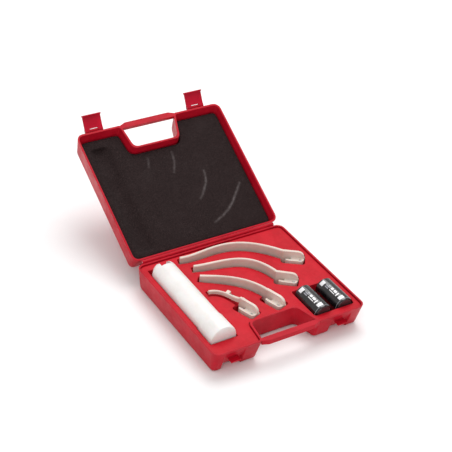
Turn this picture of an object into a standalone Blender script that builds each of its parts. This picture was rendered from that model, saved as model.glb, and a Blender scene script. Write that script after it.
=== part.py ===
"""Laryngoscope set in its carry case: a battery handle, four curved hook-on blades and two C cells,
each in its own trough of the case's tray, with the foam-lined lid lying open on its hinge.

Lengths below are in millimetres, and MM turns them into the scene's metres. X runs along the hinge,
+Y points from the carrying grip to the hinge, and +Z is up. The origin is the middle of the underside.
"""

import math
from collections import namedtuple

import bmesh
import bpy
from mathutils import Matrix, Vector

MM = 0.001

# Case: plan size, the height of each half, and the walls.
CASE_WIDTH = 229.0
CASE_DEPTH = 201.5
BASE_HEIGHT = 34.0
LID_HEIGHT = 30.0
WALL = 2.4
FLOOR = 2.4
CORNER_RADIUS = 10.0
SIDE_DRAFT = 4.0
GRIP_SIDE_DRAFT = 9.0
EDGE_RADIUS = 4.0
EDGE_STEPS = 3
ARC_STEPS = 4
HALF_WIDTH = CASE_WIDTH / 2
HALF_DEPTH = CASE_DEPTH / 2
LID_RIM = BASE_HEIGHT + 0.3
LID_TOP = LID_RIM + LID_HEIGHT

# Carrying grip: a tapered bay in the grip side of both halves, closed by a bar.
GRIP_CENTRE = -3.0
GRIP_MOUTH_LEFT = -45.0
GRIP_MOUTH_RIGHT = 40.0
GRIP_BACK_LEFT = -39.5
GRIP_BACK_RIGHT = 29.5
GRIP_DEPTH = 37.3
GRIP_MOUTH_RADIUS = 4.0
GRIP_BACK_RADIUS = 8.0
GRIP_LEFT_SLOPE = (GRIP_BACK_LEFT - GRIP_MOUTH_LEFT) / GRIP_DEPTH
GRIP_RIGHT_SLOPE = (GRIP_BACK_RIGHT - GRIP_MOUTH_RIGHT) / GRIP_DEPTH
GRIP_BAR_DEPTH = 5.0
GRIP_BAR_PROUD = 3.0
GRIP_BAR_HEIGHT = 6.5
GRIP_BAR_OVERLAP = 1.2

# Hinge: five knuckles on a steel rod.
HINGE_AXIS_Y = HALF_DEPTH + 2.9
HINGE_AXIS_Z = BASE_HEIGHT + 0.7
HINGE_OPEN_DEG = 151.5
KNUCKLE_RADIUS = 2.5
KNUCKLE_SPAN = 208.0
KNUCKLE_COUNT = 5
KNUCKLE_GAP = 0.5
KNUCKLE_WEB_DEPTH = 4.0
HINGE_PIN_RADIUS = 0.9
HINGE_BORE_RADIUS = 1.25
STOP_HALF_WIDTH = 6.0
STOP_OFFSET = 62.0
STOP_LOW = 15.0
STOP_HIGH = 27.0

# Latches on the lid's grip side, and their catches on the base.
LATCH_OFFSET = 81.0
LATCH_WIDTH = 27.0
LATCH_THICKNESS = 2.2
LATCH_LENGTH = 22.5
LATCH_AXIS_OUT = 3.6
LATCH_AXIS_UP = 3.0
LATCH_REST_DEG = 58.0
LATCH_BARREL_RADIUS = 2.2
LATCH_LUG_LENGTH = 12.0
LUG_SUNK = 3.0
LATCH_PIN_RADIUS = 0.8
LATCH_BORE_RADIUS = 1.15
LATCH_HOOK_REACH = 3.0
LATCH_HOOK_HEIGHT = 2.0
LATCH_LIP = 1.4
CATCH_WIDTH = 14.0
CATCH_HEIGHT = 1.6
RECESS_HALF_WIDTH = 15.0
RECESS_DEPTH = 8.5
RECESS_START = 2.0
RECESS_GROWTH = 1.6

# Tray: a thin moulding with a trough for each piece.
TRAY_TOP = BASE_HEIGHT - 2.2
TRAY_SHEET = 1.8
TRAY_WALL = 1.2
TRAY_EDGE_INSET = 3.4
LEDGE_INSET = 4.2
LEDGE_TOP = TRAY_TOP - TRAY_SHEET - 0.3
LEDGE_SHEET = 2.0
BLADE_TROUGH_FLOOR = 18.5
CELL_TROUGH_FLOOR = 15.8
TROUGH_GAP = 0.9
TROUGH_BACK = 1.8
TROUGH_FRONT = 4.5
TROUGH_END = 2.5
HEEL_TROUGH_FRONT = 5.0

# Foam pad inside the lid.
FOAM_FACE = BASE_HEIGHT + 9.5
FOAM_EDGE_INSET = 3.4
FOAM_BACK_GAP = 0.4
FOAM_RELIEF_GAP = 0.8

# Handle: a tube for two C cells with a hook-on head and a screw cap.
HANDLE_X = -86.0
HANDLE_Z = 32.0
HANDLE_HEAD_Y = 82.7
HANDLE_SEAM_Y = -43.3
HANDLE_END_Y = -75.0
HANDLE_RADIUS = 17.5
HANDLE_NECK_RADIUS = 14.0
HANDLE_SHOULDER = 9.0
CELL_BORE_RADIUS = 14.0
CELL_BORE_LENGTH = 103.0
CAP_RADIUS = 18.9
CAP_EDGE = 2.5
CAP_SPIGOT_LENGTH = 11.0
CAP_SPIGOT_RADIUS = 14.9
CAP_BORE_RADIUS = 13.3
SEAL_BORE_RADIUS = 15.9
CAP_END_WALL = 3.0
SEAM_GAP = 0.4
HEAD_SLOT_WIDTH = 14.0
HEAD_SLOT_DEPTH = 12.0
HOOK_BAR_RADIUS = 1.6
HOOK_BAR_SETBACK = 3.6
SADDLE_SHEET = 1.0
INSULATOR_RADIUS = 4.6
INSULATOR_LENGTH = 8.0
PLUNGER_RADIUS = 1.8
PLUNGER_PROUD = 2.2

# Cells: size C (LR14).
CELL_RADIUS = 13.1
CELL_LENGTH = 50.0
CELL_LEFT_X = 57.3
CELL_RIGHT_X = 90.9
CELL_NEAR_Y = -86.6
CELL_Z = 29.4
NUB_RADIUS = 3.6
NUB_HEIGHT = 1.9
CELL_END_INSET = 0.8

# Blades: where the heel sits in the tray, its heading, and the spatula's curve in the heel's own frame,
# where X runs to the heel's rear end and Y to the blade's outer curve.
Blade = namedtuple("Blade", "heel heading rise bow tip width tip_width thickness web")
BLADES = {
    "blade_4": Blade((76.5, 36.5), -34, (-82, 33), (-100, -19), (-138, -32), 22.0, 15.0, 3.4, 7.0),
    "blade_3": Blade((42.5, 1.5), -37, (-45, 41), (-71, 9), (-110, -5), 21.0, 15.0, 3.4, 6.6),
    "blade_2": Blade((10, -25.3), -71, (-41, 3), (-66, -24), (-84, -36), 20.0, 14.0, 3.2, 6.0),
    "blade_1": Blade((-31, -25.3), -70, (-17.5, 2.2), (-35.5, 2.4), (-43, -11.7), 6.4, 4.8, 2.6, 4.2),
}
BLADE_TOP = 42.6
BLADE_STATIONS = 22
TROUGH_STATIONS = 12
ARM_DROP = 5.0
HEEL_LENGTH = 28.7
HEEL_PLATE_HEIGHT = 22.0
HEEL_BLOCK_TOP = 33.0
HEEL_BLOCK_BOTTOM = 20.0
HEEL_FRONT = 9.4
HEEL_REAR_ROUND = 9.0
HEEL_NUB_REACH = 1.0
HEEL_SLOT_END = 11.0
HEEL_SLOT_FAR = 5.6
HOOK_TIP = 3.4
BALL_X = 23.2
BALL_Y = -6.0
BALL_RADIUS = 1.4
BALL_HOLE_RADIUS = 1.75
BALL_SUNK = 0.5
STUD_X = 14.5
STUD_Z = 24.5
STUD_RADIUS = 1.3
BUSH_RADIUS = 2.4
BUSH_DEPTH = 4.0
BUSH_PROUD = 0.6
STUD_PROUD = 2.2
WEB_SHEET = 1.5
BULB_SHARE = 0.45
BULB_BASE_RADIUS = 1.7
BULB_BASE_LENGTH = 6.0
SOCKET_WALL = 0.9
LAMP_RISE = 5.2
LAMP_SUNK = 3.2
LAMP_CLEARANCE = 7.4
SOCKET_REACH = 4.0
BULB_GLASS_RADIUS = 1.35
BULB_GLASS_LENGTH = 3.6

GAP = 0.3
CUT_PAST = 1.0


def clear_scene():
    for obj in list(bpy.data.objects):
        bpy.data.objects.remove(obj, do_unlink=True)


def material(name, colour, roughness, metallic=0.0):
    """One Principled material, shared by every object that asks for its name."""
    found = bpy.data.materials.get(name)
    if found:
        return found
    made = bpy.data.materials.new(name)
    made.use_nodes = True
    shader = made.node_tree.nodes["Principled BSDF"]
    shader.inputs["Base Color"].default_value = (*colour, 1.0)
    shader.inputs["Roughness"].default_value = roughness
    shader.inputs["Metallic"].default_value = metallic
    return made


def red_plastic():
    return material("red_plastic", (0.62, 0.012, 0.045), 0.38)


def white_plastic():
    return material("white_plastic", (0.86, 0.85, 0.82), 0.3)


def ivory_plastic():
    return material("ivory_plastic", (0.82, 0.72, 0.62), 0.35)


def charcoal_foam():
    return material("charcoal_foam", (0.025, 0.02, 0.02), 0.95)


def steel():
    return material("steel", (0.6, 0.6, 0.62), 0.25, 1.0)


def brass():
    return material("brass", (0.75, 0.55, 0.25), 0.3, 1.0)


def object_from(name, bm, finish, parent=None):
    """Turns a mesh under construction, in millimetres, into an object, with its origin at its parent."""
    bmesh.ops.recalc_face_normals(bm, faces=bm.faces)
    bmesh.ops.scale(bm, vec=(MM, MM, MM), verts=bm.verts)
    mesh = bpy.data.meshes.new(name)
    bm.to_mesh(mesh)
    bm.free()
    obj = bpy.data.objects.new(name, mesh)
    bpy.context.collection.objects.link(obj)
    obj.parent = parent
    mesh.materials.append(finish)
    mesh.shade_smooth()
    mesh.set_sharp_from_angle(angle=math.radians(35))
    return obj


def frame_at(name, place, rotation=(0, 0, 0)):
    """An empty that carries the pieces drawn in its own frame."""
    empty = bpy.data.objects.new(name, None)
    bpy.context.collection.objects.link(empty)
    empty.location = [value * MM for value in place]
    empty.rotation_euler = rotation
    return empty


def boolean(target, tool, operation):
    """Leaves a Boolean with a hidden tool on the target."""
    tool.hide_render = True
    tool.display_type = "WIRE"
    modifier = target.modifiers.new(tool.name, "BOOLEAN")
    modifier.operation = operation
    modifier.solver = "EXACT"
    modifier.object = tool


def cut(target, tool):
    boolean(target, tool, "DIFFERENCE")


def join(target, tool):
    boolean(target, tool, "UNION")


def loft(bm, rings):
    """Closed solid through rings of equal point counts, with a flat face on each end."""
    rows = [[bm.verts.new(point) for point in ring] for ring in rings]
    for low, high in zip(rows, rows[1:]):
        for i in range(len(low)):
            j = (i + 1) % len(low)
            bm.faces.new((low[i], low[j], high[j], high[i]))
    bm.faces.new(rows[0][::-1])
    bm.faces.new(rows[-1])
    return bm


def solid_loft(rings):
    return loft(bmesh.new(), rings)


def prism(outline, low, high):
    return solid_loft([[(x, y, z) for x, y in outline] for z in (low, high)])


def add_box(bm, low, high):
    corners = [(low[0], low[1]), (high[0], low[1]), (high[0], high[1]), (low[0], high[1])]
    return loft(bm, [[(x, y, z) for x, y in corners] for z in (low[2], high[2])])


def box(low, high):
    return add_box(bmesh.new(), low, high)


def rounded(corners):
    """Outline through corners given as (x, y, radius): an arc replaces each corner that has a radius."""
    outline = []
    for i, (x, y, radius) in enumerate(corners):
        here = Vector((x, y))
        if not radius:
            outline.append((x, y))
            continue
        before = (Vector(corners[i - 1][:2]) - here).normalized()
        after = (Vector(corners[(i + 1) % len(corners)][:2]) - here).normalized()
        half = before.angle(after) / 2
        reach = radius / math.tan(half)
        centre = here + (before + after).normalized() * radius / math.sin(half)
        start = here + before * reach - centre
        end = here + after * reach - centre
        turn = start.angle_signed(end)
        for step in range(ARC_STEPS + 1):
            spoke = Matrix.Rotation(-turn * step / ARC_STEPS, 2) @ start
            outline.append(tuple(centre + spoke))
    return outline


def turned(profile, steps, place=(0, 0, 0), axis="Y"):
    """Closed solid of revolution. The profile is (radius, position) from end to end, or back to its
    start when it encloses a bore, so its first and last radius are zero, or it is a closed loop."""
    bm = bmesh.new()
    loop = profile[0][0] > 0
    rows = []
    for radius, position in profile:
        if radius == 0:
            rows.append([bm.verts.new((0, position, 0))])
            continue
        angles = [math.tau * i / steps for i in range(steps)]
        rows.append([bm.verts.new((radius * math.cos(a), position, radius * math.sin(a))) for a in angles])
    pairs = list(zip(rows, rows[1:]))
    if loop:
        pairs.append((rows[-1], rows[0]))
    for low, high in pairs:
        for i in range(steps):
            j = (i + 1) % steps
            corners = [low[i % len(low)], low[j % len(low)], high[j % len(high)], high[i % len(high)]]
            bm.faces.new(list(dict.fromkeys(corners)))
    turn = {
        "Y": Matrix.Identity(4),
        "X": Matrix.Rotation(-math.pi / 2, 4, "Z"),
        "Z": Matrix.Rotation(math.pi / 2, 4, "X"),
    }[axis]
    bmesh.ops.transform(bm, matrix=Matrix.Translation(place) @ turn, verts=bm.verts)
    return bm


def rod(radius, low, high, steps, place=(0, 0, 0), axis="Y"):
    return turned([(0, low), (radius, low), (radius, high), (0, high)], steps, place, axis)


def merge(*meshes):
    """One mesh under construction holding several separate ones."""
    whole = meshes[0]
    for extra in meshes[1:]:
        copy = bpy.data.meshes.new("merge")
        extra.to_mesh(copy)
        whole.from_mesh(copy)
        bpy.data.meshes.remove(copy)
        extra.free()
    return whole


def coil(name, radius, wire, low, high, turns, place, axis, finish, parent):
    """A round-wire spring between two heights along an axis, with its end turns closed up."""
    steps = 10
    sides = 5
    count = int(turns * steps)
    rings = []
    for i in range(count + 1):
        share = i / count
        angle = math.tau * turns * share
        height = low + wire + (high - low - 2 * wire) * share
        centre = Vector((radius * math.cos(angle), height, radius * math.sin(angle)))
        outward = Vector((math.cos(angle), 0, math.sin(angle)))
        spokes = [math.tau * k / sides for k in range(sides)]
        rings.append([centre + wire * (outward * math.cos(a) + Vector((0, 1, 0)) * math.sin(a)) for a in spokes])
    bm = solid_loft(rings)
    if axis == "Z":
        bmesh.ops.transform(bm, matrix=Matrix.Rotation(math.pi / 2, 4, "X"), verts=bm.verts)
    bmesh.ops.translate(bm, vec=place, verts=bm.verts)
    return object_from(name, bm, finish, parent)


def case_outline(inset, grip_inset, recess=None):
    """Plan of the case: the rim moved in by inset, and by grip_inset on the side with the grip.
    The grip's bay widens by the same amounts. A recess depth adds the bays for the latches."""
    front = -HALF_DEPTH + grip_inset
    left = -HALF_WIDTH + inset
    back = -HALF_DEPTH + GRIP_DEPTH + inset
    corner = max(CORNER_RADIUS - inset, CORNER_RADIUS * 0.3)
    mouth_left = GRIP_MOUTH_LEFT + GRIP_LEFT_SLOPE * grip_inset - inset
    mouth_right = GRIP_MOUTH_RIGHT + GRIP_RIGHT_SLOPE * grip_inset + inset
    corners = [(left, front, corner)]
    if recess is not None:
        corners += latch_bay(GRIP_CENTRE - LATCH_OFFSET, front, recess)
    corners += [
        (mouth_left, front, GRIP_MOUTH_RADIUS),
        (GRIP_BACK_LEFT - inset, back, GRIP_BACK_RADIUS),
        (GRIP_BACK_RIGHT + inset, back, GRIP_BACK_RADIUS),
        (mouth_right, front, GRIP_MOUTH_RADIUS),
    ]
    if recess is not None:
        corners += latch_bay(GRIP_CENTRE + LATCH_OFFSET, front, recess)
    corners += [
        (-left, front, corner),
        (-left, HALF_DEPTH - inset, corner),
        (left, HALF_DEPTH - inset, corner),
    ]
    return rounded(corners)


def latch_bay(centre, front, recess):
    low = centre - RECESS_HALF_WIDTH
    high = centre + RECESS_HALF_WIDTH
    return [(low, front, 0), (low + 1, front + recess, 0), (high - 1, front + recess, 0), (high, front, 0)]


def shell_ring(depth, height, inset, recess_full):
    """One level of a case half: depth is measured from the rim, down to the outer face."""
    share = depth / height
    recess = None
    if recess_full is not None:
        lower_share = max(0.0, depth - RECESS_START) / (height - RECESS_START)
        recess = recess_full * lower_share**RECESS_GROWTH
    return case_outline(inset + SIDE_DRAFT * share, inset + GRIP_SIDE_DRAFT * share, recess)


def half_shell_levels(height):
    """Depths of the drafted wall, and then the rounded edge, as (depth, extra inset)."""
    levels = [(0.0, 0.0), (RECESS_START, 0.0), (9.0, 0.0), (18.0, 0.0), (height - EDGE_RADIUS, 0.0)]
    for step in range(1, EDGE_STEPS + 1):
        angle = math.pi / 2 * step / EDGE_STEPS
        depth = height - EDGE_RADIUS + EDGE_RADIUS * math.sin(angle)
        levels.append((depth, EDGE_RADIUS * (1 - math.cos(angle)) * 0.98))
    return levels


def half_shell(name, height, rim, way, recess):
    """A case half, rounded at its edge and hollowed from its rim. way is -1 for the base, 1 for the lid."""
    rings = []
    for depth, extra in half_shell_levels(height):
        outline = shell_ring(depth, height, extra, recess)
        rings.append([(x, y, rim + way * depth) for x, y in outline])
    shell = object_from(name, solid_loft(rings), red_plastic())
    top = -CUT_PAST if way > 0 else BASE_HEIGHT - LEDGE_TOP + LEDGE_SHEET
    inner = []
    for depth, extra in ((top, 0.0), (height - FLOOR - 3.0, 0.0), (height - FLOOR, 2.0)):
        outline = shell_ring(max(depth, 0.0), height, WALL + extra, recess)
        inner.append([(x, y, rim + way * depth) for x, y in outline])
    cut(shell, object_from(name + "_hollow", solid_loft(inner), red_plastic()))
    return shell


def ledge_cutters():
    """The opening inside the ledge that carries the tray, and the rebate above it that takes its edge."""
    opening = prism(case_outline(LEDGE_INSET, LEDGE_INSET), LEDGE_TOP - LEDGE_SHEET - CUT_PAST, LEDGE_TOP + CUT_PAST)
    rebate = prism(case_outline(WALL, WALL), LEDGE_TOP, BASE_HEIGHT + CUT_PAST)
    return opening, rebate


def grip_bar(name, low, high):
    """The bar that closes the grip's bay, in one half of the case. Its ends run inside the bay's walls."""
    front = -HALF_DEPTH - GRIP_BAR_PROUD
    root = -HALF_DEPTH + 0.4
    back = root + GRIP_BAR_DEPTH
    left = GRIP_MOUTH_LEFT - GRIP_BAR_OVERLAP
    right = GRIP_MOUTH_RIGHT + GRIP_BAR_OVERLAP
    corners = [
        (left, root, 0),
        (GRIP_MOUTH_LEFT + 8, front, 6),
        (GRIP_MOUTH_RIGHT - 8, front, 6),
        (right, root, 0),
        (right + GRIP_RIGHT_SLOPE * GRIP_BAR_DEPTH, back, 0),
        (left + GRIP_LEFT_SLOPE * GRIP_BAR_DEPTH, back, 0),
    ]
    return object_from(name, prism(rounded(corners), low, high), red_plastic())


def knuckle_spans(first):
    """(low, high) along X of every second knuckle, from the first or the second."""
    pitch = KNUCKLE_SPAN / KNUCKLE_COUNT
    for index in range(first, KNUCKLE_COUNT, 2):
        low = -KNUCKLE_SPAN / 2 + pitch * index
        yield low + KNUCKLE_GAP / 2, low + pitch - KNUCKLE_GAP / 2


def hinge_knuckles(name, first, way):
    """Barrels around the hinge axis, each with a web that runs into the wall."""
    pieces = []
    for low, high in knuckle_spans(first):
        pieces.append(rod(KNUCKLE_RADIUS, low, high, 16, (0, HINGE_AXIS_Y, HINGE_AXIS_Z), "X"))
    webs = bmesh.new()
    for low, high in knuckle_spans(first):
        ends = sorted((HINGE_AXIS_Z + way * 0.9, HINGE_AXIS_Z + way * (KNUCKLE_RADIUS + 5.0)))
        root = HALF_DEPTH - KNUCKLE_WEB_DEPTH / 2
        add_box(webs, (low + 0.1, root, ends[0]), (high - 0.1, HINGE_AXIS_Y - 0.2, ends[1]))
    barrels = object_from(name, merge(*pieces), red_plastic())
    barrels_webs = object_from(name + "_webs", webs, red_plastic())
    return barrels, barrels_webs


def make_base():
    """Case base with its hinge knuckles, lid stops, latch catches and half of the grip."""
    base = half_shell("case_base", BASE_HEIGHT, BASE_HEIGHT, -1, RECESS_DEPTH)
    for label, cutter in zip(("ledge", "rebate"), ledge_cutters()):
        cut(base, object_from("case_base_" + label, cutter, red_plastic()))
    join(base, grip_bar("case_base_grip", BASE_HEIGHT - GRIP_BAR_HEIGHT, BASE_HEIGHT))
    for tool in hinge_knuckles("case_base_knuckles", 0, -1):
        join(base, tool)
    join(base, object_from("case_base_catches", latch_catches(), red_plastic()))
    join(base, object_from("case_base_stops", lid_stops(), red_plastic()))
    cut(base, object_from("case_base_bore", hinge_bore(), red_plastic()))
    return base


def hinge_bore():
    half = KNUCKLE_SPAN / 2 + CUT_PAST
    place = (0, HINGE_AXIS_Y, HINGE_AXIS_Z)
    return rod(HINGE_BORE_RADIUS, -half, half, 12, place, "X")


def latch_face_y():
    """Inner face of a closed latch."""
    return -HALF_DEPTH - LATCH_AXIS_OUT + LATCH_THICKNESS / 2


def latch_catches():
    """Shelf on the base under which each latch hooks."""
    shelves = bmesh.new()
    low = BASE_HEIGHT + LATCH_AXIS_UP - LATCH_LENGTH + LATCH_HOOK_HEIGHT + GAP
    for side in (-1, 1):
        centre = GRIP_CENTRE + side * LATCH_OFFSET
        front = latch_face_y() + GAP
        half = CATCH_WIDTH / 2
        add_box(shelves, (centre - half, front, low), (centre + half, -HALF_DEPTH + 9.0, low + CATCH_HEIGHT))
    return shelves


def lid_back_line(height):
    """Y of the open lid's back wall at a height, for the stops that it leans on."""
    lean = math.radians(HINGE_OPEN_DEG - 90)
    wall = Vector((HALF_DEPTH - SIDE_DRAFT * 0.5 - HINGE_AXIS_Y, LID_HEIGHT / 2 + BASE_HEIGHT - HINGE_AXIS_Z))
    turn = Matrix.Rotation(math.radians(HINGE_OPEN_DEG), 2)
    draft = math.atan2(SIDE_DRAFT, LID_HEIGHT)
    point = turn @ wall
    slope = -math.tan(lean - math.pi / 2 + draft)
    return HINGE_AXIS_Y + point.x + (HINGE_AXIS_Z + point.y - height) * slope


def lid_stops():
    """Wedges behind the base that hold the lid at its open angle."""
    stops = bmesh.new()
    for centre in (-STOP_OFFSET, 0.0, STOP_OFFSET):
        rings = []
        for x in (centre - STOP_HALF_WIDTH, centre + STOP_HALF_WIDTH):
            inner = HALF_DEPTH - SIDE_DRAFT - 0.5
            low_y = lid_back_line(STOP_LOW) - 2 * GAP
            high_y = lid_back_line(STOP_HIGH) - 2 * GAP
            rings.append([(x, inner, STOP_LOW), (x, low_y, STOP_LOW), (x, high_y, STOP_HIGH), (x, inner, STOP_HIGH)])
        loft(stops, rings)
    return stops


def make_hinge_pin():
    half = KNUCKLE_SPAN / 2 - 0.5
    place = (0, HINGE_AXIS_Y, HINGE_AXIS_Z)
    object_from("hinge_pin", rod(HINGE_PIN_RADIUS, -half, half, 10, place, "X"), steel())


def make_lid(frame):
    """Lid shell, drawn closed on the base in the hinge's frame."""
    lid = half_shell("case_lid", LID_HEIGHT, LID_RIM, 1, None)
    tools = [grip_bar("case_lid_grip", LID_RIM, LID_RIM + GRIP_BAR_HEIGHT)]
    tools += hinge_knuckles("case_lid_knuckles", 1, 1)
    for label, lugs in zip(("barrels", "feet"), latch_lugs()):
        tools.append(object_from("case_lid_latch_" + label, lugs, red_plastic()))
    for tool in tools:
        join(lid, tool)
    bores = [object_from("case_lid_bore", hinge_bore(), red_plastic())]
    bores.append(object_from("case_lid_latch_bores", latch_bores(), red_plastic()))
    for tool in bores:
        cut(lid, tool)
    hollow = bpy.data.objects["case_lid_hollow"]
    for obj in [lid, hollow, *tools, *bores]:
        hang(obj, frame)


def hang(obj, frame):
    """Moves an object that was drawn with the lid closed into the hinge's frame."""
    obj.data.transform(Matrix.Translation((0, -HINGE_AXIS_Y * MM, -HINGE_AXIS_Z * MM)))
    obj.parent = frame


def latch_axis():
    return -HALF_DEPTH - LATCH_AXIS_OUT, BASE_HEIGHT + LATCH_AXIS_UP


def latch_lugs():
    """Lug in the middle of each latch, from the lid's wall out to the latch's pin: barrels and feet."""
    axis_y, axis_z = latch_axis()
    barrels = []
    feet = bmesh.new()
    for side in (-1, 1):
        low = GRIP_CENTRE + side * LATCH_OFFSET - LATCH_LUG_LENGTH / 2
        high = low + LATCH_LUG_LENGTH
        barrels.append(rod(LATCH_BARREL_RADIUS, 0, LATCH_LUG_LENGTH, 12, (low, axis_y, axis_z), "X"))
        foot_top = axis_z + LATCH_BARREL_RADIUS + 1.0
        add_box(feet, (low + 0.1, axis_y + 0.4, axis_z - 0.6), (high - 0.1, -HALF_DEPTH + LUG_SUNK, foot_top))
    return merge(*barrels), feet


def latch_bores():
    axis_y, axis_z = latch_axis()
    bores = []
    for side in (-1, 1):
        centre = GRIP_CENTRE + side * LATCH_OFFSET
        half = LATCH_LUG_LENGTH / 2 + CUT_PAST
        bores.append(rod(LATCH_BORE_RADIUS, -half, half, 10, (centre, axis_y, axis_z), "X"))
    return merge(*bores)


def make_latch(name, side, frame):
    """Latch and its pin. It is drawn in its own frame, hanging straight down from its pin."""
    axis_y, axis_z = latch_axis()
    centre = GRIP_CENTRE + side * LATCH_OFFSET
    pivot = frame_at(name + "_axis", (centre, axis_y - HINGE_AXIS_Y, axis_z - HINGE_AXIS_Z))
    pivot.parent = frame
    pivot.rotation_euler = (math.radians(-LATCH_REST_DEG), 0, 0)
    half = LATCH_WIDTH / 2
    side_view = latch_side_view()
    rings = [[(x, y, z) for y, z in side_view] for x in (-half, half)]
    latch = object_from(name, solid_loft(rings), red_plastic(), pivot)
    lug_half = LATCH_LUG_LENGTH / 2 + GAP
    cut(latch, object_from(name + "_lug_bay", box((-lug_half, -6, -2.9), (lug_half, 6, 6)), red_plastic(), pivot))
    bore = rod(LATCH_BORE_RADIUS, -half - CUT_PAST, half + CUT_PAST, 10, (0, 0, 0), "X")
    cut(latch, object_from(name + "_bore", bore, red_plastic(), pivot))
    pin = rod(LATCH_PIN_RADIUS, -half + 0.4, half - 0.4, 8, (0, 0, 0), "X")
    object_from(name + "_pin", pin, steel(), pivot)


def latch_side_view():
    """Latch in the YZ plane: barrel, flat tongue, hook towards the case and a finger lip away from it."""
    inner = LATCH_THICKNESS / 2
    outer = -LATCH_THICKNESS / 2
    foot = -LATCH_LENGTH
    turn = [math.pi * (0.15 + 0.7 * i / 6) for i in range(7)]
    barrel = [(LATCH_BARREL_RADIUS * math.cos(a), LATCH_BARREL_RADIUS * math.sin(a)) for a in turn]
    tongue = [
        (outer - 0.9, -1.4),
        (outer, -4.0),
        (outer, foot + 3.5),
        (outer - LATCH_LIP, foot + 0.8),
        (outer - LATCH_LIP, foot),
        (inner + LATCH_HOOK_REACH, foot),
        (inner + LATCH_HOOK_REACH, foot + LATCH_HOOK_HEIGHT - 0.6),
        (inner + LATCH_HOOK_REACH - 0.6, foot + LATCH_HOOK_HEIGHT),
        (inner, foot + LATCH_HOOK_HEIGHT),
        (inner, -3.4),
        (inner + 0.9, -1.4),
    ]
    return barrel + tongue


def make_foam(frame):
    """Foam pad glued into the lid, with a relief over the handle."""
    top = LID_TOP - FLOOR - FOAM_BACK_GAP
    rings = []
    for z in (FOAM_FACE, top):
        share = (z - LID_RIM) / LID_HEIGHT
        inset = FOAM_EDGE_INSET + 0.4
        corner = 1.8 if z == top else 0.0
        outline = case_outline(inset + corner + SIDE_DRAFT * share, inset + corner + GRIP_SIDE_DRAFT * share)
        rings.append([(x, y, z) for x, y in outline])
    foam = object_from("lid_foam", solid_loft(rings), charcoal_foam())
    place = (HANDLE_X, 0, HANDLE_Z)
    gap = FOAM_RELIEF_GAP
    tube = rod(HANDLE_RADIUS + gap, HANDLE_SEAM_Y - 1, HANDLE_HEAD_Y + 3, 24, place)
    cap = rod(CAP_RADIUS + gap, HANDLE_END_Y - 3, HANDLE_SEAM_Y + 3, 24, place)
    reliefs = [object_from("lid_foam_" + label, bm, charcoal_foam()) for label, bm in (("tube", tube), ("cap", cap))]
    for relief in reliefs:
        cut(foam, relief)
    for obj in [foam, *reliefs]:
        hang(obj, frame)


def curve_point(blade, share):
    """Point of the spatula's centre line in the heel's frame, from the heel (0) to the tip (1)."""
    knots = (Vector((0, 0)), Vector(blade.rise), Vector(blade.bow), Vector(blade.tip))
    rest = 1 - share
    weights = (rest**3, 3 * rest**2 * share, 3 * rest * share**2, share**3)
    return sum((knot * weight for knot, weight in zip(knots, weights)), Vector((0, 0)))


def curve_normal(blade, share):
    """Unit vector from the centre line towards the blade's outer curve."""
    step = 0.01
    along = curve_point(blade, min(1, share + step)) - curve_point(blade, max(0, share - step))
    return Vector((along.y, -along.x)).normalized()


def web_reach(blade, share):
    """How far the web stands behind the spatula's centre line. It tapers towards the tip."""
    least = blade.thickness / 2 + WEB_SHEET
    return least + 0.3 + (blade.web - least) * (1 - share) ** 0.7


def to_tray(blade, points):
    """Heel-frame points in the tray's plan."""
    turn = Matrix.Rotation(math.radians(blade.heading), 2)
    return [tuple(turn @ Vector(point) + Vector(blade.heel)) for point in points]


def spatula_section(blade, share):
    """Cross-section as (towards the outer curve, height): an upright plate with a web along its foot."""
    width = blade.width + (blade.tip_width - blade.width) * share
    drop = blade_drop(blade, share)
    top = BLADE_TOP - drop
    foot = top - width
    half = blade.thickness / 2 * (1.0 - 0.25 * math.sin(math.pi * min(1, share * 1.15)))
    sheet = WEB_SHEET
    web = web_reach(blade, share)
    lip = foot + sheet + 0.2 + 3.0 * (1 - share)
    bead = half * 1.25
    return [
        (-half, foot),
        (-half, top - 2.2),
        (-bead, top - 1.2),
        (-bead * 0.6, top),
        (bead * 0.6, top),
        (bead, top - 1.2),
        (half, top - 2.2),
        (half, foot + sheet),
        (web - sheet, foot + sheet),
        (web - sheet, lip),
        (web, lip),
        (web, foot),
    ]


def blade_drop(blade, share):
    """How far the spatula's top edge lies below the heel's. The smallest blade has a low, thin arm."""
    if blade.width < HEEL_PLATE_HEIGHT / 1.5:
        return ARM_DROP * min(1.0, share * 4) ** 0.5 + 1.0 * share
    return 4.0 * share**2


def make_spatula(blade):
    rings = []
    for i in range(BLADE_STATIONS + 1):
        share = i / BLADE_STATIONS
        centre = curve_point(blade, share)
        normal = curve_normal(blade, share)
        section = spatula_section(blade, share)
        rings.append([(*(centre + normal * out), height) for out, height in section])
    heel_end = [(x + 3.0, y, z) for x, y, z in rings[0]]
    return solid_loft([heel_end, *rings])


def upright(side_view, near, far):
    """Plate seen from the side as (x, z), between two depths."""
    return solid_loft([[(x, y, z) for x, z in side_view] for y in (near, far)])


def heel_plate(blade):
    """The heel's upright plate, whose rear corner sweeps down."""
    top = BLADE_TOP - 0.2
    corners = [
        (-1.5, BLADE_TOP - HEEL_PLATE_HEIGHT, 0),
        (HEEL_LENGTH, BLADE_TOP - HEEL_PLATE_HEIGHT, 1.5),
        (HEEL_LENGTH, top - 0.4, HEEL_REAR_ROUND),
        (6.0, top, 6.0),
        (-1.5, top, 0),
    ]
    return upright(rounded(corners), -blade.thickness / 2, 2.2)


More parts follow.
